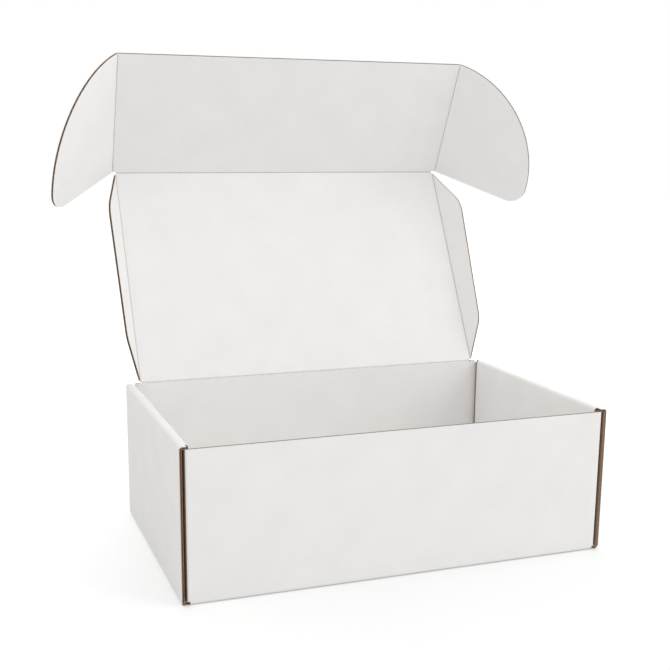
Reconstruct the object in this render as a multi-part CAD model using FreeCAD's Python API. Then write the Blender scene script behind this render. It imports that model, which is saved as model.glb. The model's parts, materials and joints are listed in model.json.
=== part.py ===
import FreeCAD, Part
import math
import os
from FreeCAD import Placement, Rotation, Vector

# Corrugated mailer box: one die-cut sheet, folded into a tray with a hinged lid.
# Origin: middle of the tray's underside. +X to the right, +Y to the back, +Z up.
# All lengths are millimetres, all angles are degrees.

# Outside size of the erected tray
LENGTH = 300.0
DEPTH = 180.0
HEIGHT = 102.0

# The board and how it folds
BOARD = 1.6
FOLD_INSIDE_R = 0.4
OUTER_LAYER_GAP = 1.7
INNER_LAYER_GAP = 0.15

# Front and back walls: their raw top edges stop below the strips on the side walls
WALL_DROP = 1.8
CREST_SIDE_GAP = 0.4

# Corner flaps of the front and back walls, caught between the side wall's two layers
CORNER_FLAP_LENGTH = 62.0
CORNER_FLAP_TAPER = 6.0
CORNER_FLAP_LIFT = 0.5

# Inner panels of the side walls, with tabs that lock into slots in the base
INNER_PANEL_END_GAP = 3.0
INNER_PANEL_FOOT_GAP = 0.15
TAB_WIDTH = 30.0
TAB_SPACING = 90.0
TAB_RECESS = 0.2
SLOT_CLEARANCE = 0.3
SIDE_FOLD_RELIEF = 0.8

# Creases between the moving flaps
CREASE_GAP = 0.65

# How the lid and its flaps fit into the tray when it is shut
EAR_CLEARANCE = 0.6
WING_TO_EAR_GAP = 0.8
TUCK_CLEARANCE = 1.6
TUCK_FLOOR_CLEARANCE = 1.6

# Side wings of the lid
WING_REACH = 22.0
WING_HINGE_REACH = 16.5
WING_HINGE_INSET = 1.5
WING_HINGE_RUN = 30.5
WING_FRONT_INSET = 1.6
WING_FRONT_RUN = 36.6
WING_HINGE_R = 25.0
WING_FRONT_R = 30.0

# Ears of the tuck flap
EAR_REACH = 84.0
EAR_START = 1.2
EAR_CORNER_R = 15.0

# How far each flap stands folded at rest
LID_OPENING_DEG = 119.0
TUCK_FOLD_DEG = 55.0
EAR_FOLD_DEG = 50.0
WING_FOLD_DEG = 60.0

# Points closer than this are one point
SAME_POINT = 1e-6

# Derived: board and fold radii
HALF = BOARD / 2
FOLD_MID_R = FOLD_INSIDE_R + HALF
FOLD_OUTSIDE_R = FOLD_INSIDE_R + BOARD
PANEL_EDGE = HALF + CREASE_GAP

# Derived: faces of the three layers in a side wall, measured from the middle of the box
OUTER_PANEL_MID = LENGTH / 2 - HALF
CORNER_FLAP_MID = OUTER_PANEL_MID - BOARD - OUTER_LAYER_GAP
INNER_PANEL_MID = CORNER_FLAP_MID - BOARD - INNER_LAYER_GAP
INNER_FACE = INNER_PANEL_MID - HALF
WALL_HALF_WIDTH = CORNER_FLAP_MID + HALF - FOLD_OUTSIDE_R
INNER_PANEL_HALF = DEPTH / 2 - BOARD - INNER_PANEL_END_GAP

# Derived: the hinge line along the top of the back wall
HINGE_Y = DEPTH / 2 - HALF
HINGE_Z = HEIGHT
BACK_TOP = HINGE_Z - PANEL_EDGE
WALL_TOP = HEIGHT - WALL_DROP

# Derived: crease lines of the lid and its flaps
EAR_CREASE = INNER_FACE - EAR_CLEARANCE - HALF
WING_CREASE = EAR_CREASE - BOARD - WING_TO_EAR_GAP
LID_LENGTH = HINGE_Y + DEPTH / 2 - BOARD - TUCK_CLEARANCE - HALF
TUCK_LENGTH = HINGE_Z - BOARD - TUCK_FLOOR_CLEARANCE


def box(x0, x1, y0, y1, z0, z1):
    return Part.makeBox(x1 - x0, y1 - y0, z1 - z0, Vector(x0, y0, z0))


def board_section(path):
    """Outline of board bent along a path of mid-plane points, as a face in the XY plane."""
    points = [Vector(x, y, 0) for x, y in path]
    runs = [(b - a).normalize() for a, b in zip(points, points[1:])]
    sides = {1: [], -1: []}
    for side, edges in sides.items():
        start = points[0] + offset(runs[0], side)
        for corner, before, after in zip(points[1:-1], runs, runs[1:]):
            turn = math.copysign(1.0, before.cross(after).z)
            reach = FOLD_MID_R * math.tan(before.getAngle(after) / 2)
            centre = corner - before * reach + leftward(before) * (turn * FOLD_MID_R)
            radius = FOLD_MID_R - side * turn * HALF
            into = corner - before * reach + offset(before, side)
            out_of = corner + after * reach + offset(after, side)
            middle = centre + (corner - centre).normalize() * radius
            edges += straight(start, into)
            edges.append(Part.Arc(into, middle, out_of).toShape())
            start = out_of
        edges += straight(start, points[-1] + offset(runs[-1], side))
    first, last = points[0], points[-1]
    caps = [Part.makeLine(first + offset(runs[0], 1), first + offset(runs[0], -1))]
    caps.append(Part.makeLine(last + offset(runs[-1], 1), last + offset(runs[-1], -1)))
    edges = Part.__sortEdges__(sides[1] + sides[-1] + caps)
    return Part.Face(Part.Wire(edges))


def straight(start, end):
    """A line as a list of one edge, or an empty list where a fold starts at once."""
    return [Part.makeLine(start, end)] if start.distanceToPoint(end) > SAME_POINT else []


def leftward(run):
    return Vector(-run.y, run.x, 0)


def offset(run, side):
    return leftward(run) * (side * HALF)


def side_wall():
    """Right side wall: outer panel, roll-over strip and inner panel, folded up from the base."""
    strip_z = HEIGHT - HALF
    fold_start = LENGTH / 2 - FOLD_OUTSIDE_R
    path = [(fold_start, HALF), (OUTER_PANEL_MID, HALF), (OUTER_PANEL_MID, strip_z)]
    path += [(INNER_PANEL_MID, strip_z), (INNER_PANEL_MID, HEIGHT - FOLD_OUTSIDE_R)]
    section = board_section(path)
    section.rotate(Vector(), Vector(1, 0, 0), 90)
    section.translate(Vector(0, DEPTH / 2, 0))
    wall = section.extrude(Vector(0, -DEPTH, 0))
    for end in (-1, 1):
        wall = wall.cut(strip_end_notch(end)).cut(side_fold_relief(end))
    return wall.fuse(inner_panel())


def strip_end_notch(end):
    """Clears the fold into the inner panel where it would meet the front or back wall."""
    near, far = sorted((end * INNER_PANEL_HALF, end * DEPTH))
    return box(0, INNER_PANEL_MID + HALF + FOLD_INSIDE_R, near, far, BOARD, HEIGHT - BOARD)


def side_fold_relief(end):
    near, far = sorted((end * (DEPTH / 2 - SIDE_FOLD_RELIEF), end * DEPTH))
    return box(0, LENGTH, near, far, -BOARD, FOLD_OUTSIDE_R)


def inner_panel():
    foot = BOARD + INNER_PANEL_FOOT_GAP
    inside, outside = INNER_PANEL_MID - HALF, INNER_PANEL_MID + HALF
    top = HEIGHT - FOLD_OUTSIDE_R
    panel = box(inside, outside, -INNER_PANEL_HALF, INNER_PANEL_HALF, foot, top)
    for y in (-TAB_SPACING / 2, TAB_SPACING / 2):
        tab = box(inside, outside, y - TAB_WIDTH / 2, y + TAB_WIDTH / 2, TAB_RECESS, foot)
        panel = panel.fuse(tab)
    return panel


def base_slots():
    """Slots along the right side of the base, one for each locking tab."""
    slots = []
    reach = HALF + SLOT_CLEARANCE
    half_width = TAB_WIDTH / 2 + SLOT_CLEARANCE
    for y in (-TAB_SPACING / 2, TAB_SPACING / 2):
        across = (INNER_PANEL_MID - reach, INNER_PANEL_MID + reach)
        slots.append(box(*across, y - half_width, y + half_width, -BOARD, 2 * BOARD))
    return slots


def end_wall():
    """Back wall folded up from the base to a raw edge, with corner flaps."""
    mid = DEPTH / 2 - HALF
    section = board_section([(DEPTH / 2 - FOLD_OUTSIDE_R, HALF), (mid, HALF), (mid, WALL_TOP)])
    section.rotate(Vector(), Vector(1, 0, 0), 90)
    section.rotate(Vector(), Vector(0, 0, 1), 90)
    section.translate(Vector(-WALL_HALF_WIDTH, 0, 0))
    wall = section.extrude(Vector(2 * WALL_HALF_WIDTH, 0, 0))
    right = corner_flap(mid)
    return wall.fuse([right, mirrored(right, 0)])


def back_crest():
    """Top of the back wall between the strips: low under the lid, up to the hinge line beside it."""
    reach = INNER_FACE - CREST_SIDE_GAP
    lid_reach = WING_CREASE - HALF
    back = DEPTH / 2
    crest = box(-reach, reach, back - BOARD, back, WALL_TOP, HINGE_Z)
    return crest.cut(box(-lid_reach, lid_reach, 0, DEPTH, BACK_TOP, HEIGHT + BOARD))


def corner_flap(mid):
    low, top = FOLD_OUTSIDE_R + CORNER_FLAP_LIFT, WALL_TOP
    tip = DEPTH / 2 - CORNER_FLAP_LENGTH
    path = [(WALL_HALF_WIDTH, mid), (CORNER_FLAP_MID, mid), (CORNER_FLAP_MID, tip)]
    section = board_section(path)
    section.translate(Vector(0, 0, low))
    flap = section.extrude(Vector(0, 0, top - low))
    bend_end = DEPTH / 2 - FOLD_OUTSIDE_R
    low_taper, high_taper = low + CORNER_FLAP_TAPER, top - CORNER_FLAP_TAPER
    outline = [(DEPTH, low), (bend_end, low), (tip, low_taper)]
    outline += [(tip, high_taper), (bend_end, top), (DEPTH, top)]
    wire = Part.makePolygon([Vector(0, y, z) for y, z in outline + outline[:1]])
    return flap.common(Part.Face(wire).extrude(Vector(LENGTH, 0, 0)))


def mirrored(shape, axis):
    normal = Vector(1, 0, 0) if axis == 0 else Vector(0, 1, 0)
    return shape.mirror(Vector(), normal)


def make_tray():
    """The whole tray: base, front, back and double side walls, all one folded sheet."""
    half_x = LENGTH / 2 - FOLD_OUTSIDE_R
    half_y = DEPTH / 2 - FOLD_OUTSIDE_R
    base = box(-half_x, half_x, -half_y, half_y, 0, BOARD)
    slots = base_slots()
    base = base.cut(slots + [mirrored(slot, 0) for slot in slots])
    right = side_wall()
    back = end_wall()
    walls = [back, mirrored(back, 1), back_crest(), right, mirrored(right, 0)]
    return base.fuse(walls).removeSplitter()


def rounded_outline(corners):
    """Closed wire in the XY plane through (x, y, radius) corners, with tangent arcs."""
    count = len(corners)
    points = [Vector(x, y, 0) for x, y, radius in corners]
    edges = []
    ends = []
    for i, (x, y, radius) in enumerate(corners):
        back = (points[i - 1] - points[i]).normalize()
        ahead = (points[(i + 1) % count] - points[i]).normalize()
        half_angle = back.getAngle(ahead) / 2
        reach = radius / math.tan(half_angle)
        into, out_of = points[i] + back * reach, points[i] + ahead * reach
        if radius > 0:
            to_arc = radius / math.sin(half_angle) - radius
            middle = points[i] + (back + ahead).normalize() * to_arc
            edges.append(Part.Arc(into, middle, out_of).toShape())
        ends.append((into, out_of))
    for i in range(count):
        edges.append(Part.makeLine(ends[i][1], ends[(i + 1) % count][0]))
    return Part.Wire(Part.__sortEdges__(edges))


def plate(wire):
    """Board in the XY plane with its mid-plane at z = 0."""
    face = Part.Face(wire)
    face.translate(Vector(0, 0, -HALF))
    return face.extrude(Vector(0, 0, BOARD))


def crease_nose(start, run):
    """Rounded edge of board along a crease line, turning about that line."""
    return Part.makeCylinder(HALF, run.Length, start, run)


def make_lid():
    """Lid panel, lying flat with its hinge line on the X axis."""
    half = WING_CREASE - PANEL_EDGE
    panel = box(-half, half, 0, LID_LENGTH - PANEL_EDGE, -HALF, HALF)
    nose = crease_nose(Vector(-half, 0, 0), Vector(2 * half, 0, 0))
    return panel.fuse(nose).removeSplitter()


def make_tuck_flap():
    """Tuck flap, lying flat with its crease on the X axis."""
    half = EAR_CREASE - PANEL_EDGE
    panel = box(-half, half, 0, TUCK_LENGTH, -HALF, HALF)
    nose = crease_nose(Vector(-half, 0, 0), Vector(2 * half, 0, 0))
    return panel.fuse(nose).removeSplitter()


def make_wing():
    """Right wing, lying flat with its crease on the Y axis and the hinge end at y = 0."""
    hinge_end = WING_HINGE_INSET
    front_end = LID_LENGTH - WING_FRONT_INSET
    corners = [(0, hinge_end, 0), (WING_HINGE_REACH, hinge_end + WING_HINGE_RUN, WING_HINGE_R)]
    corners += [(WING_REACH, front_end - WING_FRONT_RUN, WING_FRONT_R), (0, front_end, 0)]
    nose = crease_nose(Vector(0, hinge_end, 0), Vector(0, front_end - hinge_end, 0))
    return plate(rounded_outline(corners)).fuse(nose).removeSplitter()


def make_ear():
    """Right ear, lying flat with its crease on the Y axis and the lid end at y = 0."""
    shoulder = EAR_START + EAR_CORNER_R
    sweep = TUCK_LENGTH - shoulder
    quarter = math.sqrt(0.5)
    foot = Vector(0, EAR_START, 0)
    tip = Vector(0, TUCK_LENGTH, 0)
    corner_in = Vector(EAR_REACH - EAR_CORNER_R, EAR_START, 0)
    corner_out = Vector(EAR_REACH, shoulder, 0)
    corner_step = Vector(EAR_CORNER_R * quarter, -EAR_CORNER_R * quarter, 0)
    corner_mid = Vector(EAR_REACH - EAR_CORNER_R, shoulder, 0) + corner_step
    sweep_mid = Vector(EAR_REACH * quarter, shoulder + sweep * quarter, 0)
    edges = [Part.makeLine(foot, corner_in), Part.Arc(corner_in, corner_mid, corner_out).toShape()]
    edges += [Part.Arc(corner_out, sweep_mid, tip).toShape(), Part.makeLine(tip, foot)]
    return plate(Part.Wire(edges)).fuse(crease_nose(foot, tip - foot)).removeSplitter()


def turned(x, y, z, axis, angle):
    return Placement(Vector(x, y, z), Rotation(axis, angle))


def moved(shape, placement):
    copy = shape.copy()
    copy.Placement = placement
    return copy


def save(shape, node):
    shape.exportStep("parts/" + node + ".step")


def main():
    os.makedirs("parts", exist_ok=True)
    across, along = Vector(1, 0, 0), Vector(0, 1, 0)
    lid_place = turned(0, HINGE_Y, HINGE_Z, across, 180 - LID_OPENING_DEG)
    tuck_place = lid_place * turned(0, LID_LENGTH, 0, across, TUCK_FOLD_DEG)
    save(make_tray(), "tray")
    save(moved(make_lid(), lid_place), "lid_panel")
    save(moved(make_tuck_flap(), tuck_place), "tuck_flap")
    for name, side in (("left", -1), ("right", 1)):
        wing_place = lid_place * turned(side * WING_CREASE, 0, 0, along, -side * WING_FOLD_DEG)
        ear_place = tuck_place * turned(side * EAR_CREASE, 0, 0, along, -side * EAR_FOLD_DEG)
        wing, ear = make_wing(), make_ear()
        if side < 0:
            wing, ear = mirrored(wing, 0), mirrored(ear, 0)
        save(moved(wing, wing_place), "wing_" + name)
        save(moved(ear, ear_place), "ear_" + name)


main()
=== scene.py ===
import json
import math

import bmesh
import bpy
import numpy as np
from mathutils import Matrix, Vector


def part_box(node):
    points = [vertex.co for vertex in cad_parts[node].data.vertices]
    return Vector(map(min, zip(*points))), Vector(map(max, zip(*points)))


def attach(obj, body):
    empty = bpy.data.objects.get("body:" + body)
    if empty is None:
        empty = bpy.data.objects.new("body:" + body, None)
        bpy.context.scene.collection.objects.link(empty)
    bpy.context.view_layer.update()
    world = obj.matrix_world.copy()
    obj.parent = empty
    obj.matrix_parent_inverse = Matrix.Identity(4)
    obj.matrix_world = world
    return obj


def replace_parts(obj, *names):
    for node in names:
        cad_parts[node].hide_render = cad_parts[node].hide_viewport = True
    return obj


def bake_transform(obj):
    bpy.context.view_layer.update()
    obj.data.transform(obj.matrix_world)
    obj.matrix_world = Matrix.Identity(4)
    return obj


# A corrugated mailer box, dressed as real board: two paper liners on a fluted medium.
# The boards are worked out in millimetres and placed in the frame's metres.
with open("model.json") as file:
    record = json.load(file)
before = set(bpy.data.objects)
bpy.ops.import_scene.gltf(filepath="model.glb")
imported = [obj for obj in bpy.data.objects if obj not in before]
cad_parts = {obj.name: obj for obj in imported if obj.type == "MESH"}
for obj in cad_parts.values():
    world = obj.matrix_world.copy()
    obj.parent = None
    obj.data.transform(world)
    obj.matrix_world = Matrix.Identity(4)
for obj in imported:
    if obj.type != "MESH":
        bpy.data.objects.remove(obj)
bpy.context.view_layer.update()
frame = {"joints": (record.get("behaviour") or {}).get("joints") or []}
MM = 0.001
QUARTER = math.pi / 2

# Sizes and creases of the frame, in millimetres
joints = {joint["name"]: joint for joint in frame["joints"]}
half_length, half_depth, height = (
    float(value) / MM for value in np.array(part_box("tray")[1])
)
lid_crease = Vector(joints["lid_hinge"]["pos_m"]) / MM
tuck_crease = Vector(joints["tuck_flap_fold"]["pos_m"]) / MM
wing_crease_x = joints["wing_right_fold"]["pos_m"][0] / MM
ear_crease_x = joints["ear_right_fold"]["pos_m"][0] / MM
lid_run = Vector(joints["wing_right_fold"]["axis"])
tuck_run = Vector(joints["ear_right_fold"]["axis"])
lid_length = (tuck_crease - lid_crease).length

# The board, its layers and how it folds
BOARD = 1.6
HALF = BOARD / 2
LINER = 0.22
MEDIUM = 0.17
GLUE = 0.01
FLUTE_PITCH = 3.3
FOLD_MID_R = 1.2
FOLD_OUTSIDE_R = FOLD_MID_R + HALF
FOLD_RUN = FOLD_MID_R * QUARTER

# The tray's panels
OUTER_LAYER_GAP = 1.7
INNER_LAYER_GAP = 0.15
WALL_DROP = 1.8
CREST_SIDE_GAP = 0.4
FLAP_LENGTH = 62.0
FLAP_TAPER = 6.0
FLAP_LIFT = 0.5
INNER_PANEL_END_GAP = 3.0
INNER_PANEL_FOOT_GAP = 0.15
TAB_WIDTH = 30.0
TAB_SPACING = 90.0
TAB_RECESS = 0.2
SLOT_CLEARANCE = 0.3
SIDE_FOLD_RELIEF = 0.8
inner_panel_half = half_depth - BOARD - INNER_PANEL_END_GAP
panel_foot = BOARD + INNER_PANEL_FOOT_GAP
outer_mid = half_length - HALF
flap_mid = outer_mid - BOARD - OUTER_LAYER_GAP
inner_mid = flap_mid - BOARD - INNER_LAYER_GAP
wall_half = flap_mid + HALF - FOLD_OUTSIDE_R
base_half_x = half_length - FOLD_OUTSIDE_R
base_half_y = half_depth - FOLD_OUTSIDE_R

# The corners carry painted shade: kraft brown on the folds into the corner flaps stands in for the
# shade in the crevices there. The share of a fold that stays white outside, and how far short of the
# fold the kraft starts inside
FOLD_SHARE_BEFORE_PAINTED_SHADE = 0.55
PAINTED_SHADE_INSIDE_LEAD = 0.7

# The lid's flaps, each measured from its crease
WING_FOLD = math.radians(60)
EAR_FOLD = math.radians(50)
TUCK_FLOOR_CLEARANCE = 1.6
tuck_length = lid_crease.z - BOARD - TUCK_FLOOR_CLEARANCE
WING_INSET = 1.5
WING_END_INSET = 1.6
WING_REACH = 22.0
WING_HINGE_REACH = 16.5
WING_HINGE_RUN = 30.5
WING_FRONT_RUN = 36.6
WING_HINGE_R = 25.0
WING_FRONT_R = 30.0
EAR_REACH = 84.0
EAR_START = 1.2
EAR_CORNER_R = 15.0

# The creases between moving panels: where the crushed strip meets the boards, its dent, and
# how far inside the strip's edges the bend starts
CREASE_EDGE = 1.45
CRUSH_DEPTH = 0.48
CRUSH_WIDTH = 0.36
BLEND_INSET = 0.45

# Fineness of the meshes, as steps in millimetres or as numbers of steps. LEAST_SHARE and
# LEAST_WIDTH keep a flap's cells from closing up where it tapers to nothing.
PANEL_STEP = 12.0
SIDE_STEP = 16.0
FLAP_STEP = 6.0
FLUTE_STEPS = 8
FOLD_STEPS = 6
COARSE_FOLD_STEPS = 3
CORNER_FLAP_COLUMNS = 5
FLAP_COLUMNS = 6
CREASE_STEPS = 24
CREASE_COLUMNS = 24
ROUNDING_STEPS = 10
EAR_CORNER_STEPS = 12
EAR_CURVE_STEPS = 48
SOLVING_STEPS = 40
LEAST_SHARE = 0.02
LEAST_WIDTH = 0.01
WELD = 0.0005
SAME_PLACE = 1e-9
MARK_DECIMALS = 6
POINT_DECIMALS = 3
SHARP_ANGLE = math.radians(40)

# Paper: colours are linear, noise scales are per metre of the blank, depths are in metres
LINER_DARK = (0.870, 0.857, 0.842)
LINER_LIGHT = (0.897, 0.886, 0.874)
LINER_ROUGHNESS = 0.62
LINER_SPECULAR = 0.3
MOTTLE_SCALE = 34.0
FLECK_COLOUR = (0.70, 0.66, 0.60)
FLECK_SCALE = 1500.0
FLECK_LEVEL = 0.71
FLECK_STRENGTH = 0.12
FIBRE_SCALE = 900.0
FIBRE_DEPTH = 0.0002
FIBRE_STRENGTH = 0.12
WASHBOARD_DEPTH = 0.000012
WASHBOARD_STRENGTH = 0.5
# Painted shade along the creases: its colour, its reach from the crease's middle and its noise scale
CREASE_SHADE_COLOUR = (0.52, 0.49, 0.45)
CREASE_SHADE_REACH = 0.0009
CREASE_SHADE_NOISE_SCALE = 260.0
KRAFT_DARK = (0.31, 0.215, 0.148)
KRAFT_LIGHT = (0.45, 0.325, 0.235)
KRAFT_MOTTLE_SCALE = 700.0
KRAFT_ROUGHNESS = 0.85
KRAFT_SPECULAR = 0.15
NOISE_DETAIL = 3.0
FLECK_DETAIL = 2.0
RAMP_ENDS = (0.3, 0.7)

# Floor. The lift is light that only the camera sees, so that the floor fades to white away
# from a place in front of the box.
FLOOR_SIZE = 8
FLOOR_DROP = 0.0002
FLOOR_COLOUR = (0.8, 0.8, 0.8)
FLOOR_LIFT_NEAR = 0.17
FLOOR_LIFT_FAR = 0.45
FLOOR_LIFT_REACH = (0.12, 0.55)
FLOOR_LIFT_PLACE = (0.1, -0.18, 0)

# Light: the world's strength, and each lamp's name, place and watts
WHITE = (1, 1, 1, 1)
WORLD_STRENGTH = 0.84
LAMP_SIZE = 1.2
LAMP_TARGET = (0, 0, 0.12)
LAMPS = (
    ("key", (1.4, -1.1, 1.3), 7.4),
    ("right", (1.8, 0.0, 1.0), 6.1),
    ("back", (0.8, 1.2, 1.6), 2.4),
    ("fill", (-1.2, -0.7, 1.6), 2.0),
)

# Camera: focal length and image centre in pixels of the image, place in metres
CAMERA_FOCAL = 1071.7
CAMERA_CENTRE = (316.75, 370.42)
CAMERA_YAW = math.radians(19.9)
CAMERA_PITCH = math.radians(12.075)
CAMERA_ROLL = math.radians(0.393)
CAMERA_PLACE = (-0.28237, -0.69638, 0.28118)
CAMERA_SENSOR = 36
IMAGE_SIZE = 670


# Materials, all from places on the flat blank


def new_material(name):
    material = bpy.data.materials.new(name)
    material.use_nodes = True
    nodes = material.node_tree.nodes
    return material, nodes, material.node_tree.links, nodes["Principled BSDF"]


def noise(nodes, links, vector, scale, detail):
    node = nodes.new("ShaderNodeTexNoise")
    node.inputs["Scale"].default_value = scale
    node.inputs["Detail"].default_value = detail
    links.new(vector, node.inputs["Vector"])
    return node.outputs["Fac"]


def ramp(nodes, links, value, low, high):
    node = nodes.new("ShaderNodeValToRGB")
    for element, position, colour in zip(node.color_ramp.elements, RAMP_ENDS, (low, high)):
        element.position = position
        element.color = (*colour, 1)
    links.new(value, node.inputs["Fac"])
    return node.outputs["Color"]


def blank_coordinates(nodes):
    """The place on the flat blank, in metres, which stays put as the board folds."""
    node = nodes.new("ShaderNodeAttribute")
    node.attribute_name = "blank"
    return node.outputs["Vector"]


def math_node(nodes, links, operation, *values):
    node = nodes.new("ShaderNodeMath")
    node.operation = operation
    for socket, value in zip(node.inputs, values):
        if isinstance(value, (int, float)):
            socket.default_value = value
        else:
            links.new(value, socket)
    return node.outputs[0]


def bumped(nodes, links, height, distance, strength, normal=None):
    node = nodes.new("ShaderNodeBump")
    node.inputs["Strength"].default_value = strength
    node.inputs["Distance"].default_value = distance
    links.new(height, node.inputs["Height"])
    if normal:
        links.new(normal, node.inputs["Normal"])
    return node.outputs["Normal"]


def mixed(nodes, links, share, low, high):
    """A colour between two others, either of which may be plain values."""
    node = nodes.new("ShaderNodeMix")
    node.data_type = "RGBA"
    links.new(share, node.inputs["Factor"])
    for name, colour in (("A", low), ("B", high)):
        socket = next(s for s in node.inputs if s.name == name and s.type == "RGBA")
        if isinstance(colour, tuple):
            socket.default_value = (*colour, 1)
        else:
            links.new(colour, socket)
    return next(s for s in node.outputs if s.type == "RGBA")


def make_liner_material(name, shaded_crease):
    """White paper with a soft mottle, short fibres and a faint washboard over the flutes.

    The crease kind is for the crushed creases: it has no washboard, and the paper darkens towards
    the middle of the crease in a noisy pattern, as painted shade."""
    material, nodes, links, shader = new_material(name)
    place = blank_coordinates(nodes)
    cloud = noise(nodes, links, place, MOTTLE_SCALE, NOISE_DETAIL)
    colour = ramp(nodes, links, cloud, LINER_DARK, LINER_LIGHT)
    speck = noise(nodes, links, place, FLECK_SCALE, FLECK_DETAIL)
    fleck = math_node(nodes, links, "GREATER_THAN", speck, FLECK_LEVEL)
    fleck = math_node(nodes, links, "MULTIPLY", fleck, FLECK_STRENGTH)
    colour = mixed(nodes, links, fleck, colour, FLECK_COLOUR)
    split = nodes.new("ShaderNodeSeparateXYZ")
    links.new(place, split.inputs[0])
    if shaded_crease:
        # Painted shade: darker towards the middle of the crease, broken up by noise
        shade_noise = noise(nodes, links, place, CREASE_SHADE_NOISE_SCALE, NOISE_DETAIL)
        across = math_node(nodes, links, "ABSOLUTE", split.outputs["Y"])
        crease_shade = math_node(nodes, links, "DIVIDE", across, CREASE_SHADE_REACH)
        crease_shade = math_node(nodes, links, "SUBTRACT", 1.0, crease_shade)
        crease_shade = math_node(nodes, links, "MAXIMUM", crease_shade, 0.0)
        crease_shade = math_node(nodes, links, "MULTIPLY", crease_shade, shade_noise)
        colour = mixed(nodes, links, crease_shade, colour, CREASE_SHADE_COLOUR)
    links.new(colour, shader.inputs["Base Color"])
    shader.inputs["Roughness"].default_value = LINER_ROUGHNESS
    shader.inputs["Specular IOR Level"].default_value = LINER_SPECULAR
    fibre = noise(nodes, links, place, FIBRE_SCALE, NOISE_DETAIL)
    normal = bumped(nodes, links, fibre, FIBRE_DEPTH, FIBRE_STRENGTH)
    if not shaded_crease:
        turns = 2 * math.pi / (FLUTE_PITCH * MM)
        phase = math_node(nodes, links, "MULTIPLY", split.outputs["Y"], turns)
        flutes = math_node(nodes, links, "SINE", phase)
        normal = bumped(nodes, links, flutes, WASHBOARD_DEPTH, WASHBOARD_STRENGTH, normal)
    links.new(normal, shader.inputs["Normal"])
    return material


def make_kraft_material():
    """Bare brown paper, for the medium, the cut edges and the liners' inner sides."""
    material, nodes, links, shader = new_material("kraft_core")
    place = blank_coordinates(nodes)
    mottle = noise(nodes, links, place, KRAFT_MOTTLE_SCALE, NOISE_DETAIL)
    colour = ramp(nodes, links, mottle, KRAFT_DARK, KRAFT_LIGHT)
    links.new(colour, shader.inputs["Base Color"])
    shader.inputs["Roughness"].default_value = KRAFT_ROUGHNESS
    shader.inputs["Specular IOR Level"].default_value = KRAFT_SPECULAR
    return material


liner_material = make_liner_material("white_liner", False)
crease_shade_material = make_liner_material("liner_with_painted_crease_shade", True)
kraft_material = make_kraft_material()


# Sheets of board. A sheet's faces are in one of two material slots.

COATED = 0
KRAFT = 1


class Shell:
    """Closed layers of paper, gathered into one mesh with a coated and a kraft slot."""

    def __init__(self):
        self.points, self.blank, self.faces, self.slots = [], [], [], []
        self.count = 0

    def layer(self, across, along, low, high, place, slots, present=None):
        """A layer between the heights low and high, on a grid of rows along the blank.

        across holds each row's stations, so it has a row for each value of along. slots are the
        materials of the high side, the low side and the cut edges, and may differ by cell."""
        rows, columns = across.shape
        v = np.repeat(np.asarray(along, float)[:, None], columns, 1)
        if present is None:
            present = np.ones((rows - 1, columns - 1), bool)
        top = place(across, v, np.broadcast_to(high, across.shape))
        bottom = place(across, v, np.broadcast_to(low, across.shape))
        size = rows * columns
        self.points += [top.reshape(-1, 3), bottom.reshape(-1, 3)]
        flat = np.stack([across * MM, v * MM, np.zeros_like(v)], -1).reshape(-1, 3)
        self.blank += [flat, flat]
        index = np.arange(size).reshape(rows, columns) + self.count
        self.count += 2 * size
        corners = [index[:-1, :-1], index[:-1, 1:], index[1:, 1:], index[1:, :-1]]
        quads = np.stack([c[present] for c in corners], -1)
        high_slot, low_slot = (np.broadcast_to(slot, present.shape)[present] for slot in slots[:2])
        self.add(quads, high_slot)
        self.add(quads[:, ::-1] + size, low_slot)
        edge = np.pad(present, 1)
        inner = edge[1:-1, 1:-1]
        sides = [(edge[:-2, 1:-1], 0, 1), (edge[1:-1, 2:], 1, 2)]
        sides += [(edge[2:, 1:-1], 2, 3), (edge[1:-1, :-2], 3, 0)]
        for beyond, start, end in sides:
            cut = inner & ~beyond
            a, b = corners[start][cut], corners[end][cut]
            self.add(np.stack([b, a, a + size, b + size], -1), slots[2])

    def add(self, quads, slot):
        self.faces.append(quads)
        self.slots.append(np.broadcast_to(slot, len(quads)))

    def make(self, name, liner=None):
        """The object, with the layers' seams welded. liner is the coated slot's material."""
        mesh = bpy.data.meshes.new(name)
        points = np.concatenate(self.points)
        quads = np.concatenate(self.faces)
        slots = np.concatenate(self.slots)
        kept = unshared(points, quads)
        mesh.from_pydata((points * MM).tolist(), [], quads[kept].tolist())
        blank = mesh.attributes.new("blank", "FLOAT_VECTOR", "POINT")
        blank.data.foreach_set("vector", np.concatenate(self.blank).astype(np.float32).ravel())
        mesh.polygons.foreach_set("material_index", slots[kept].astype(np.int32))
        mesh.materials.append(liner or liner_material)
        mesh.materials.append(kraft_material)
        work = bmesh.new()
        work.from_mesh(mesh)
        bmesh.ops.remove_doubles(work, verts=work.verts, dist=WELD * MM)
        loose = [vertex for vertex in work.verts if not vertex.link_faces]
        bmesh.ops.delete(work, geom=loose, context="VERTS")
        bmesh.ops.recalc_face_normals(work, faces=work.faces)
        work.to_mesh(mesh)
        work.free()
        mesh.polygons.foreach_set("use_smooth", np.ones(len(mesh.polygons), bool))
        mesh.set_sharp_from_angle(angle=SHARP_ANGLE)
        obj = bpy.data.objects.new(name, mesh)
        bpy.context.scene.collection.objects.link(obj)
        return obj


def unshared(points, quads):
    """Leaves out the cut edges that meet face to face where two parts of one sheet join."""
    rounded = np.round(points, POINT_DECIMALS)
    places = np.unique(rounded, axis=0, return_inverse=True)[1].reshape(-1)
    corners = np.sort(places[quads], axis=1)
    group, count = np.unique(corners, axis=0, return_inverse=True, return_counts=True)[1:]
    return count[group.reshape(-1)] == 1


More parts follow.
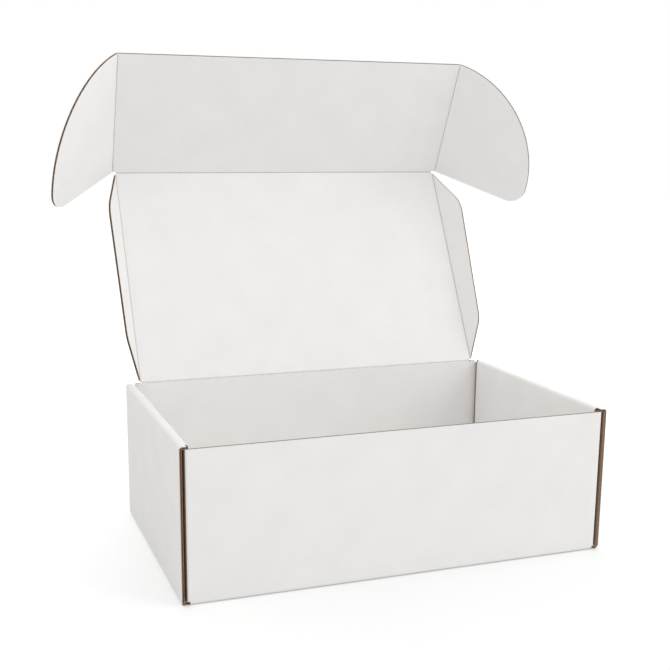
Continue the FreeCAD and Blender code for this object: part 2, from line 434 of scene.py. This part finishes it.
def stations(*marks, step=PANEL_STEP):
    """Evenly spread values that pass through every mark, no further apart than the step."""
    marks = sorted(set(round(mark, MARK_DECIMALS) for mark in marks))
    out = [marks[0]]
    for a, b in zip(marks, marks[1:]):
        count = max(1, math.ceil((b - a) / step))
        out += [a + (b - a) * (i + 1) / count for i in range(count)]
    return np.array(out)


def flute_rows(first, last, *marks):
    """Rows along the blank, close enough together to carry the medium's wave."""
    return stations(first, last, *marks, step=FLUTE_PITCH / FLUTE_STEPS)


def wave(along):
    """Height of the fluted medium's middle above the board's middle."""
    room = HALF - LINER - MEDIUM / 2 - GLUE
    return room * np.sin(2 * math.pi * np.asarray(along) / FLUTE_PITCH)


def board(shell, rows, medium_rows, spread, place, present=None, kraft_hidden_or_shaded=None):
    """Two liners and the medium between them. spread gives a row's stations across the blank,
    fine or coarse. present says which cells are board, and the last argument which of their high or
    low faces are kraft instead of white: hidden faces inside the double walls, and faces by the
    corner folds whose kraft is painted shade, both from the middle of the cell."""
    for along, low, high, slots in (
        (rows, HALF - LINER, HALF, (COATED, KRAFT, KRAFT)),
        (rows, -HALF, LINER - HALF, (KRAFT, COATED, KRAFT)),
        (medium_rows, None, None, (KRAFT, KRAFT, KRAFT)),
    ):
        across = np.array([spread(v, low is not None) for v in along])
        mask = None
        if present is not None:
            u = (across[:-1, :-1] + across[:-1, 1:] + across[1:, :-1] + across[1:, 1:]) / 4
            v = np.repeat(((along[:-1] + along[1:]) / 2)[:, None], u.shape[1], 1)
            mask = present(u, v)
            if kraft_hidden_or_shaded and low is not None:
                is_high = high > 0
                coat = np.where(kraft_hidden_or_shaded(u, v, is_high), KRAFT, COATED)
                slots = (coat, KRAFT, KRAFT) if is_high else (KRAFT, coat, KRAFT)
        if low is None:
            middle = wave(along)[:, None]
            low, high = middle - MEDIUM / 2, middle + MEDIUM / 2
        shell.layer(across, along, low, high, place, slots, mask)


def follow(runs, start, heading, s, h):
    """Points a distance s along straight and curved runs, and h to the left of them."""
    x, y = start
    s = np.asarray(s, float)
    out_x, out_y = np.zeros_like(s), np.zeros_like(s)
    begin = 0.0
    for length, turn in runs:
        here = s >= begin - SAME_PLACE
        d = s - begin
        angle = heading + turn * d / length
        if turn:
            px = x + (np.sin(angle) - math.sin(heading)) * length / turn
            py = y - (np.cos(angle) - math.cos(heading)) * length / turn
            x += (math.sin(heading + turn) - math.sin(heading)) * length / turn
            y -= (math.cos(heading + turn) - math.cos(heading)) * length / turn
        else:
            px, py = x + d * math.cos(heading), y + d * math.sin(heading)
            x, y = x + length * math.cos(heading), y + length * math.sin(heading)
        out_x = np.where(here, px - h * np.sin(angle), out_x)
        out_y = np.where(here, py + h * np.cos(angle), out_y)
        begin += length
        heading += turn
    return out_x, out_y


# The tray, as lengths along its blank

panel_top = height - FOLD_OUTSIDE_R
wall_rise = panel_top - FOLD_OUTSIDE_R
strip_flat = outer_mid - inner_mid - 2 * FOLD_MID_R
side_runs = [(FOLD_RUN, QUARTER), (wall_rise, 0), (FOLD_RUN, QUARTER), (strip_flat, 0)]
side_runs += [(FOLD_RUN, QUARTER), (panel_top - TAB_RECESS, 0)]
side_marks = base_half_x + np.cumsum([0.0] + [length for length, turn in side_runs])
foot_mark = side_marks[-1] - (panel_foot - TAB_RECESS)
slot_reach = HALF + SLOT_CLEARANCE
slot_marks = (inner_mid - slot_reach, inner_mid + slot_reach)


def place_base_and_sides(u, v, h):
    """The base and the two double side walls that fold up from it."""
    out = np.abs(u)
    x, z = follow(side_runs, (base_half_x, HALF), 0.0, out - base_half_x, h)
    flat = out <= base_half_x
    x = np.where(flat, out, x)
    z = np.where(flat, HALF + h, z)
    return np.stack([np.sign(u) * x, v, z], -1)


def base_and_sides_present(u, v):
    """Which cells are board: not the slots, the narrowed ends or the room beside the tabs."""
    out, y = np.abs(u), np.abs(v)
    by_tab = np.abs(y - TAB_SPACING / 2)
    slot = (out > slot_marks[0]) & (out < slot_marks[1]) & (by_tab < TAB_WIDTH / 2 + SLOT_CLEARANCE)
    limit = np.full_like(out, half_depth)
    limit[out < side_marks[1]] = half_depth - SIDE_FOLD_RELIEF
    limit[out < base_half_x] = base_half_y
    limit[out > side_marks[4]] = inner_panel_half
    tab = (out > foot_mark) & (by_tab > TAB_WIDTH / 2)
    return (y < limit) & ~slot & ~tab


def base_and_sides_bare(u, v, is_high):
    """The hidden faces inside the double side walls."""
    return is_high & (np.abs(u) > side_marks[1])


def base_stations(fine):
    """Stations across the flat base, shared with the front and back walls."""
    marks = (0, lid_notch, crest_reach, slot_marks[0], wall_half - PAINTED_SHADE_INSIDE_LEAD, wall_half)
    return stations(*marks, step=PANEL_STEP if fine else half_length)


def fold_stations(start, end, fine):
    return stations(start, end, step=(end - start) / (FOLD_STEPS if fine else COARSE_FOLD_STEPS))


def mirrored_marks(values):
    """The values, which start at 0, with the same to the left of it."""
    values = np.asarray(values)
    return np.concatenate([-values[:0:-1], values])


def side_stations(fine):
    """Stations across the base, up both side walls, over the strips and down inside."""
    inner = list(base_stations(fine)) + [slot_marks[1], base_half_x]
    for i, (length, turn) in enumerate(side_runs):
        start, end = side_marks[i], side_marks[i + 1]
        if turn:
            inner += list(fold_stations(start, end, fine)[1:])
            continue
        marks = [start, end] + ([foot_mark] if i == len(side_runs) - 1 else [])
        inner += list(stations(*marks, step=SIDE_STEP if fine else half_length)[1:])
    return mirrored_marks(inner)


wall_top = height - WALL_DROP
back_top = lid_crease.z - CREASE_EDGE
crest_reach = inner_mid - HALF - CREST_SIDE_GAP
lid_notch = wing_crease_x - HALF
corner_runs = [(FOLD_RUN, -QUARTER), (FLAP_LENGTH - FOLD_OUTSIDE_R, 0)]
corner_marks = wall_half + np.cumsum([0.0] + [length for length, turn in corner_runs])


def place_end_wall(side):
    """The front (-1) or back (1) wall, folded up from the base, with its corner flaps."""
    wall_mid = half_depth - HALF

    def place(u, v, h):
        out, s = np.abs(u), side * v - base_half_y
        d, z = follow([(FOLD_RUN, QUARTER), (height, 0)], (base_half_y, HALF), 0.0, s, h)
        x, turned = follow(corner_runs, (wall_half, wall_mid), 0.0, out - wall_half, -h)
        straight = out <= wall_half
        x = np.where(straight, out, x)
        d = np.where(straight, d, turned)
        return np.stack([np.sign(u) * x, side * d, z], -1)

    return place


# How far along the blank a wall's foot would be if the fold below it were square
wall_foot = base_half_y + FOLD_RUN - FOLD_OUTSIDE_R


def end_wall(shell, side):
    """The front (-1) or back (1) wall with its two corner flaps, in one sheet."""
    low = FOLD_OUTSIDE_R + FLAP_LIFT
    flap_run = corner_marks[-1] - corner_marks[1]
    shares = np.linspace(0, 1, CORNER_FLAP_COLUMNS + 1)[1:]

    def spread(v, fine):
        z = side * v - wall_foot
        taper = min(z - low, wall_top - z) / FLAP_TAPER
        flap = corner_marks[1] + shares * flap_run * min(1.0, max(LEAST_SHARE, taper))
        fold_part = fold_stations(wall_half, corner_marks[1], fine)[1:]
        return mirrored_marks(np.concatenate([base_stations(fine), fold_part, flap]))

    def present(u, v):
        return (np.abs(u) < wall_half) | (side * v > wall_foot + low)

    # Painted shade: kraft on the faces by the corner folds stands in for the shade of the corner
    # crevices
    def kraft_hidden_or_shaded(u, v, is_high):
        painted_shade_from = wall_half - PAINTED_SHADE_INSIDE_LEAD if is_high else wall_half + FOLD_SHARE_BEFORE_PAINTED_SHADE * FOLD_RUN
        return np.abs(u) > painted_shade_from

    fold_end = base_half_y + FOLD_RUN
    top = wall_foot + wall_top
    marks = (wall_foot + low, wall_foot + low + FLAP_TAPER, top - FLAP_TAPER, top)
    fold = stations(base_half_y, fold_end, step=FOLD_RUN / FOLD_STEPS)
    rows = np.concatenate([fold, stations(fold_end, *marks)[1:]])
    medium_rows = flute_rows(base_half_y, fold_end, marks[0], top)
    place = place_end_wall(side)
    board(shell, np.sort(side * rows), np.sort(side * medium_rows), spread, place, present, kraft_hidden_or_shaded)


def back_crest(shell):
    """Top of the back wall: low under the lid's crease, up to the hinge line beside it."""
    across = [mirrored_marks(base_stations(fine)) for fine in (False, True)]
    levels = wall_foot + np.array([wall_top, back_top, lid_crease.z])

    def present(u, v):
        out = np.abs(u)
        return (out < crest_reach) & ((out > lid_notch) | (v < levels[1]))

    place = place_end_wall(1)
    board(shell, levels, flute_rows(*levels), lambda v, fine: across[fine], place, present)


def make_tray():
    shell = Shell()
    across = [side_stations(fine) for fine in (False, True)]
    y_marks = []
    for tab in (-TAB_SPACING / 2, TAB_SPACING / 2):
        for reach in (TAB_WIDTH / 2, TAB_WIDTH / 2 + SLOT_CLEARANCE):
            y_marks += [tab - reach, tab + reach]
    for limit in (half_depth, half_depth - SIDE_FOLD_RELIEF, base_half_y, inner_panel_half):
        y_marks += [-limit, limit]
    rows = stations(*y_marks)
    medium_rows = flute_rows(-half_depth, half_depth, *y_marks)
    board(shell, rows, medium_rows, lambda v, fine: across[fine], place_base_and_sides,
          base_and_sides_present, base_and_sides_bare)
    end_wall(shell, -1)
    end_wall(shell, 1)
    back_crest(shell)
    return shell.make("tray_board")


# The lid and its flaps


def frame_at(origin, run):
    """Local frame of a panel: X across the box, Y along the panel, Z its inside normal."""
    across = Vector((1, 0, 0))
    matrix = Matrix.Identity(3)
    for i, axis in enumerate((across, run, across.cross(run))):
        matrix.col[i] = axis
    return np.array(matrix), np.array(origin)


def placer(origin, run, crease_x=None, side=1, fold=0.0):
    """Places a panel's local points, turned by the fold about a crease at that x if it has one."""
    axes, corner = frame_at(origin, run)

    def place(u, v, h):
        if crease_x is None:
            local = np.stack([u, v, h], -1)
        else:
            x = u * math.cos(fold) - h * math.sin(fold)
            z = u * math.sin(fold) + h * math.cos(fold)
            local = np.stack([side * (crease_x + x), v, z], -1)
        return local @ axes.T + corner

    return place


def make_panel(name, half, length, place):
    """A plain panel, from its crease strip to the given length."""
    shell = Shell()
    across = mirrored_marks(stations(0, half))
    rows = stations(CREASE_EDGE, length)
    board(shell, rows, flute_rows(CREASE_EDGE, length), lambda v, fine: across, place)
    return shell.make(name)


def rounded_profile(corners):
    """Points along an outline of (reach, along, radius) corners, with tangent arcs."""
    points = []
    for i, (x, y, radius) in enumerate(corners):
        if radius == 0:
            points.append((x, y))
            continue
        here = Vector((x, y))
        back = (Vector(corners[i - 1][:2]) - here).normalized()
        ahead = (Vector(corners[i + 1][:2]) - here).normalized()
        half_angle = back.angle(ahead) / 2
        centre = here + (back + ahead).normalized() * (radius / math.sin(half_angle))
        first = here + back * (radius / math.tan(half_angle)) - centre
        sweep = -first.angle_signed(here + ahead * (radius / math.tan(half_angle)) - centre)
        for k in range(ROUNDING_STEPS + 1):
            turned = Matrix.Rotation(sweep * k / ROUNDING_STEPS, 2) @ first
            points.append(tuple(centre + turned))
    return np.array(points)


def wing_profile():
    """A wing's outline as (reach, place along the crease)."""
    start, end = WING_INSET, lid_length - WING_END_INSET
    return rounded_profile([
        (0, start, 0),
        (WING_HINGE_REACH, start + WING_HINGE_RUN, WING_HINGE_R),
        (WING_REACH, end - WING_FRONT_RUN, WING_FRONT_R),
        (0, end, 0),
    ])


def arc_through(a, b, c, steps):
    """Points on the circle through three points, from the first to the last."""
    (ax, ay), (bx, by), (cx, cy) = a, b, c
    d = 2 * (ax * (by - cy) + bx * (cy - ay) + cx * (ay - by))
    aa, bb, cc = ax**2 + ay**2, bx**2 + by**2, cx**2 + cy**2
    ux = (aa * (by - cy) + bb * (cy - ay) + cc * (ay - by)) / d
    uy = (aa * (cx - bx) + bb * (ax - cx) + cc * (bx - ax)) / d
    radius = math.hypot(ax - ux, ay - uy)
    first, last = math.atan2(ay - uy, ax - ux), math.atan2(cy - uy, cx - ux)
    angles = np.linspace(first, last, steps + 1)
    return [(ux + radius * math.cos(t), uy + radius * math.sin(t)) for t in angles]


def ear_profile():
    """An ear's outline as (reach, place along the crease): a small corner, then one sweep."""
    shoulder = EAR_START + EAR_CORNER_R
    diagonal = math.sqrt(0.5)
    points = []
    for k in range(EAR_CORNER_STEPS + 1):
        t = -QUARTER + QUARTER * k / EAR_CORNER_STEPS
        points.append((EAR_REACH - EAR_CORNER_R + EAR_CORNER_R * math.cos(t),
                       shoulder + EAR_CORNER_R * math.sin(t)))
    middle = (EAR_REACH * diagonal, shoulder + (tuck_length - shoulder) * diagonal)
    sweep = arc_through((EAR_REACH, shoulder), middle, (0, tuck_length), EAR_CURVE_STEPS)
    return np.array(points + sweep[1:])


def make_flap(name, profile, place):
    """A flap whose outline has one reach for each place along its crease."""
    order = np.argsort(profile[:, 1], kind="stable")
    along, reach = profile[order, 1], profile[order, 0]
    wide = np.nonzero(reach > CREASE_EDGE)[0]

    def crossing(outside, inside):
        share = (CREASE_EDGE - reach[outside]) / (reach[inside] - reach[outside])
        return along[outside] + share * (along[inside] - along[outside])

    first = along[0] if wide[0] == 0 else crossing(wide[0] - 1, wide[0])
    last = crossing(wide[-1] + 1, wide[-1])
    shares = np.linspace(0, 1, FLAP_COLUMNS + 1)

    def spread(v, fine):
        out = max(CREASE_EDGE + LEAST_WIDTH, float(np.interp(v, along, reach)))
        return CREASE_EDGE + shares * (out - CREASE_EDGE)

    inside = [v for v in along if first < v < last]
    rows = stations(first, last, *inside, step=FLAP_STEP)
    shell = Shell()
    board(shell, rows, flute_rows(first, last), spread, place)
    return shell.make(name)


# Creases between moving panels


def smooth(t):
    """Eases a share in and out between 0 and 1, as the blend does."""
    t = np.clip(t, 0, 1)
    return t * t * (3 - 2 * t)


def make_crease(name, origin, axis, fold, parent_run, extent):
    """A crushed strip of board, bent about a crease line.

    At the flat pose it is a flat strip. Each point is turned from there about the crease by the
    same share of the fold that the blend gives it, so the strip is whole; it is built at this one
    fold and rides on no body. extent gives where the strip starts and ends along the crease, for
    each distance across it."""
    axis = Vector(axis).normalized()
    normal = axis.cross(parent_run)
    turn = Matrix.Rotation(fold / 2, 3, axis)
    chord = turn @ parent_run
    reach = CREASE_EDGE * math.cos(fold / 2) - BLEND_INSET
    s = stations(-CREASE_EDGE, CREASE_EDGE, step=2 * CREASE_EDGE / CREASE_STEPS)
    half = HALF - CRUSH_DEPTH * np.exp(-((s / CRUSH_WIDTH) ** 2))
    centre, run, lift = np.array(origin), np.array(parent_run), np.array(normal)
    line, bisector = np.array(axis), np.array(chord)

    def turned(vectors, angles):
        cosine, sine = np.cos(angles)[..., None], np.sin(angles)[..., None]
        return vectors * cosine + np.cross(line, vectors) * sine

    def place(v, u, h):
        """v runs along the crease, u across it and h up from the board's middle."""
        flat = u[..., None] * run + h[..., None] * lift
        low, high = np.zeros_like(u), np.ones_like(u)
        for _ in range(SOLVING_STEPS):
            share = (low + high) / 2
            ahead = turned(flat, share * fold) @ bisector
            more = smooth((ahead + reach) / (2 * reach)) > share
            low, high = np.where(more, share, low), np.where(more, high, share)
        return turned(flat, (low + high) / 2 * fold) + centre + v[..., None] * line

    shell = Shell()
    first, last = np.array([extent(x) for x in s]).T
    shares = np.linspace(0, 1, CREASE_COLUMNS + 1)
    along = first[:, None] + shares * (last - first)[:, None]
    shell.layer(along, s, -half[:, None], half[:, None], place, (COATED, COATED, KRAFT))
    obj = shell.make(name, crease_shade_material)
    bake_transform(obj)
    return obj


def profile_extent(profile, start, end):
    """Where a flap's crease strip starts and ends, following the flap's outline."""
    peak = int(np.argmax(profile[:, 0]))
    below, above = profile[: peak + 1], profile[peak:][::-1]

    def extent(s):
        if s <= 0:
            return start, end
        first = np.interp(s, below[:, 0], below[:, 1]) if below[0, 0] < s else start
        return first, np.interp(s, above[:, 0], above[:, 1])

    return extent


def make_flap_crease(name, origin, run, crease_x, side, fold, extent):
    """The crease of a wing or an ear, on the left (-1) or right (1) of its panel."""
    centre = origin + Vector((side * crease_x, 0, 0))
    return make_crease(name, centre, run, -side * fold, Vector((side, 0, 0)), extent)


# The pieces, each board riding on its body in place of its node; the crease strips are left in
# place, on no body

tray_board = make_tray()
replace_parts(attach(tray_board, "tray"), "tray")

lid_half = wing_crease_x - CREASE_EDGE
lid_place = placer(lid_crease, lid_run)
lid_board = make_panel("lid_board", lid_half, lid_length - CREASE_EDGE, lid_place)
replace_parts(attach(lid_board, "lid"), "lid_panel")

tuck_half = ear_crease_x - CREASE_EDGE
tuck_place = placer(tuck_crease, tuck_run)
tuck_board = make_panel("tuck_flap_board", tuck_half, tuck_length, tuck_place)
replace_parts(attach(tuck_board, "tuck_flap"), "tuck_flap")

for side, word in ((-1, "left"), (1, "right")):
    wing_place = placer(lid_crease, lid_run, wing_crease_x, side, WING_FOLD)
    wing = make_flap("wing_board_" + word, wing_profile(), wing_place)
    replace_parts(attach(wing, "wing_" + word), "wing_" + word)
    ear_place = placer(tuck_crease, tuck_run, ear_crease_x, side, EAR_FOLD)
    ear = make_flap("ear_board_" + word, ear_profile(), ear_place)
    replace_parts(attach(ear, "ear_" + word), "ear_" + word)

hinge_fold = -Vector((0, 0, 1)).angle(lid_run)
tuck_fold = lid_run.angle(tuck_run)
for name, origin, run, fold, bodies in (
    ("lid_crease", lid_crease, Vector((0, 0, 1)), hinge_fold, ("tray", "lid")),
    ("tuck_crease", tuck_crease, lid_run, tuck_fold, ("lid", "tuck_flap")),
):
    crease = make_crease(name, origin, (1, 0, 0), fold, run, lambda s: (-lid_half, lid_half))

wing_extent = profile_extent(wing_profile(), WING_INSET, lid_length - WING_END_INSET)
ear_extent = profile_extent(ear_profile(), EAR_START, tuck_length)
for side, word in ((-1, "left"), (1, "right")):
    crease = make_flap_crease("wing_crease_" + word, lid_crease, lid_run, wing_crease_x, side,
                              WING_FOLD, wing_extent)
    crease = make_flap_crease("ear_crease_" + word, tuck_crease, tuck_run, ear_crease_x, side,
                              EAR_FOLD, ear_extent)


# Floor, light and camera


def floor_lift(nodes, links):
    """Strength of the floor's lift, by the distance from the place in front of the box."""
    place = nodes.new("ShaderNodeTexCoord")
    offset = nodes.new("ShaderNodeVectorMath")
    offset.operation = "SUBTRACT"
    offset.inputs[1].default_value = FLOOR_LIFT_PLACE
    links.new(place.outputs["Object"], offset.inputs[0])
    distance = nodes.new("ShaderNodeVectorMath")
    distance.operation = "LENGTH"
    links.new(offset.outputs[0], distance.inputs[0])
    fade = nodes.new("ShaderNodeMapRange")
    fade.interpolation_type = "SMOOTHSTEP"
    fade.inputs["From Min"].default_value = FLOOR_LIFT_REACH[0]
    fade.inputs["From Max"].default_value = FLOOR_LIFT_REACH[1]
    fade.inputs["To Min"].default_value = FLOOR_LIFT_NEAR
    fade.inputs["To Max"].default_value = FLOOR_LIFT_FAR
    links.new(distance.outputs["Value"], fade.inputs["Value"])
    rays = nodes.new("ShaderNodeLightPath")
    return math_node(nodes, links, "MULTIPLY", rays.outputs["Is Camera Ray"], fade.outputs["Result"])


def make_floor_material():
    material = bpy.data.materials.new("floor")
    material.use_nodes = True
    nodes, links = material.node_tree.nodes, material.node_tree.links
    nodes.clear()
    diffuse = nodes.new("ShaderNodeBsdfDiffuse")
    diffuse.inputs["Color"].default_value = (*FLOOR_COLOUR, 1)
    lift = nodes.new("ShaderNodeEmission")
    links.new(floor_lift(nodes, links), lift.inputs["Strength"])
    added = nodes.new("ShaderNodeAddShader")
    links.new(diffuse.outputs[0], added.inputs[0])
    links.new(lift.outputs[0], added.inputs[1])
    output = nodes.new("ShaderNodeOutputMaterial")
    links.new(added.outputs[0], output.inputs["Surface"])
    return material


def make_floor():
    bpy.ops.mesh.primitive_plane_add(size=FLOOR_SIZE)
    floor = bpy.context.object
    floor.name = "floor"
    floor.data.materials.append(make_floor_material())
    floor.location.z = -FLOOR_DROP


def make_world():
    """Even white light, and a white background for the camera and for reflections."""
    world = bpy.data.worlds.new("studio")
    bpy.context.scene.world = world
    world.use_nodes = True
    nodes, links = world.node_tree.nodes, world.node_tree.links
    light = nodes["Background"]
    light.inputs["Color"].default_value = WHITE
    light.inputs["Strength"].default_value = WORLD_STRENGTH
    backdrop = nodes.new("ShaderNodeBackground")
    backdrop.inputs["Color"].default_value = WHITE
    rays = nodes.new("ShaderNodeLightPath")
    mix = nodes.new("ShaderNodeMixShader")
    seen = rays.outputs["Is Camera Ray"]
    for name in ("Is Glossy Ray", "Is Transmission Ray"):
        seen = math_node(nodes, links, "MAXIMUM", seen, rays.outputs[name])
    links.new(seen, mix.inputs["Fac"])
    links.new(light.outputs[0], mix.inputs[1])
    links.new(backdrop.outputs[0], mix.inputs[2])
    links.new(mix.outputs[0], nodes["World Output"].inputs["Surface"])


def add_lamp(name, place, power):
    data = bpy.data.lights.new(name, "AREA")
    data.size = LAMP_SIZE
    data.energy = power
    lamp = bpy.data.objects.new(name, data)
    bpy.context.scene.collection.objects.link(lamp)
    lamp.location = place
    aim = Vector(LAMP_TARGET) - Vector(place)
    lamp.rotation_euler = aim.to_track_quat("-Z", "Y").to_euler()


def make_camera():
    """The camera, from the fitted direction, focal length and image centre."""
    data = bpy.data.cameras.new("camera")
    camera = bpy.data.objects.new("camera", data)
    bpy.context.scene.collection.objects.link(camera)
    level = Vector((math.sin(CAMERA_YAW), math.cos(CAMERA_YAW), 0))
    up = Vector((0, 0, 1))
    ahead = level * math.cos(CAMERA_PITCH) - up * math.sin(CAMERA_PITCH)
    across = Vector((math.cos(CAMERA_YAW), -math.sin(CAMERA_YAW), 0))
    above = level * math.sin(CAMERA_PITCH) + up * math.cos(CAMERA_PITCH)
    roll = math.cos(CAMERA_ROLL), math.sin(CAMERA_ROLL)
    right = across * roll[0] + above * roll[1]
    top = above * roll[0] - across * roll[1]
    turn = Matrix((right, top, -ahead)).transposed().to_4x4()
    camera.matrix_world = Matrix.Translation(CAMERA_PLACE) @ turn
    data.sensor_width = CAMERA_SENSOR
    data.lens = CAMERA_FOCAL / IMAGE_SIZE * CAMERA_SENSOR
    data.shift_x = (IMAGE_SIZE / 2 - CAMERA_CENTRE[0]) / IMAGE_SIZE
    data.shift_y = (CAMERA_CENTRE[1] - IMAGE_SIZE / 2) / IMAGE_SIZE
    bpy.context.scene.camera = camera


make_camera()
make_floor()
make_world()
for name, place, power in LAMPS:
    add_lamp(name, place, power)
bpy.context.scene.view_settings.view_transform = "Standard"
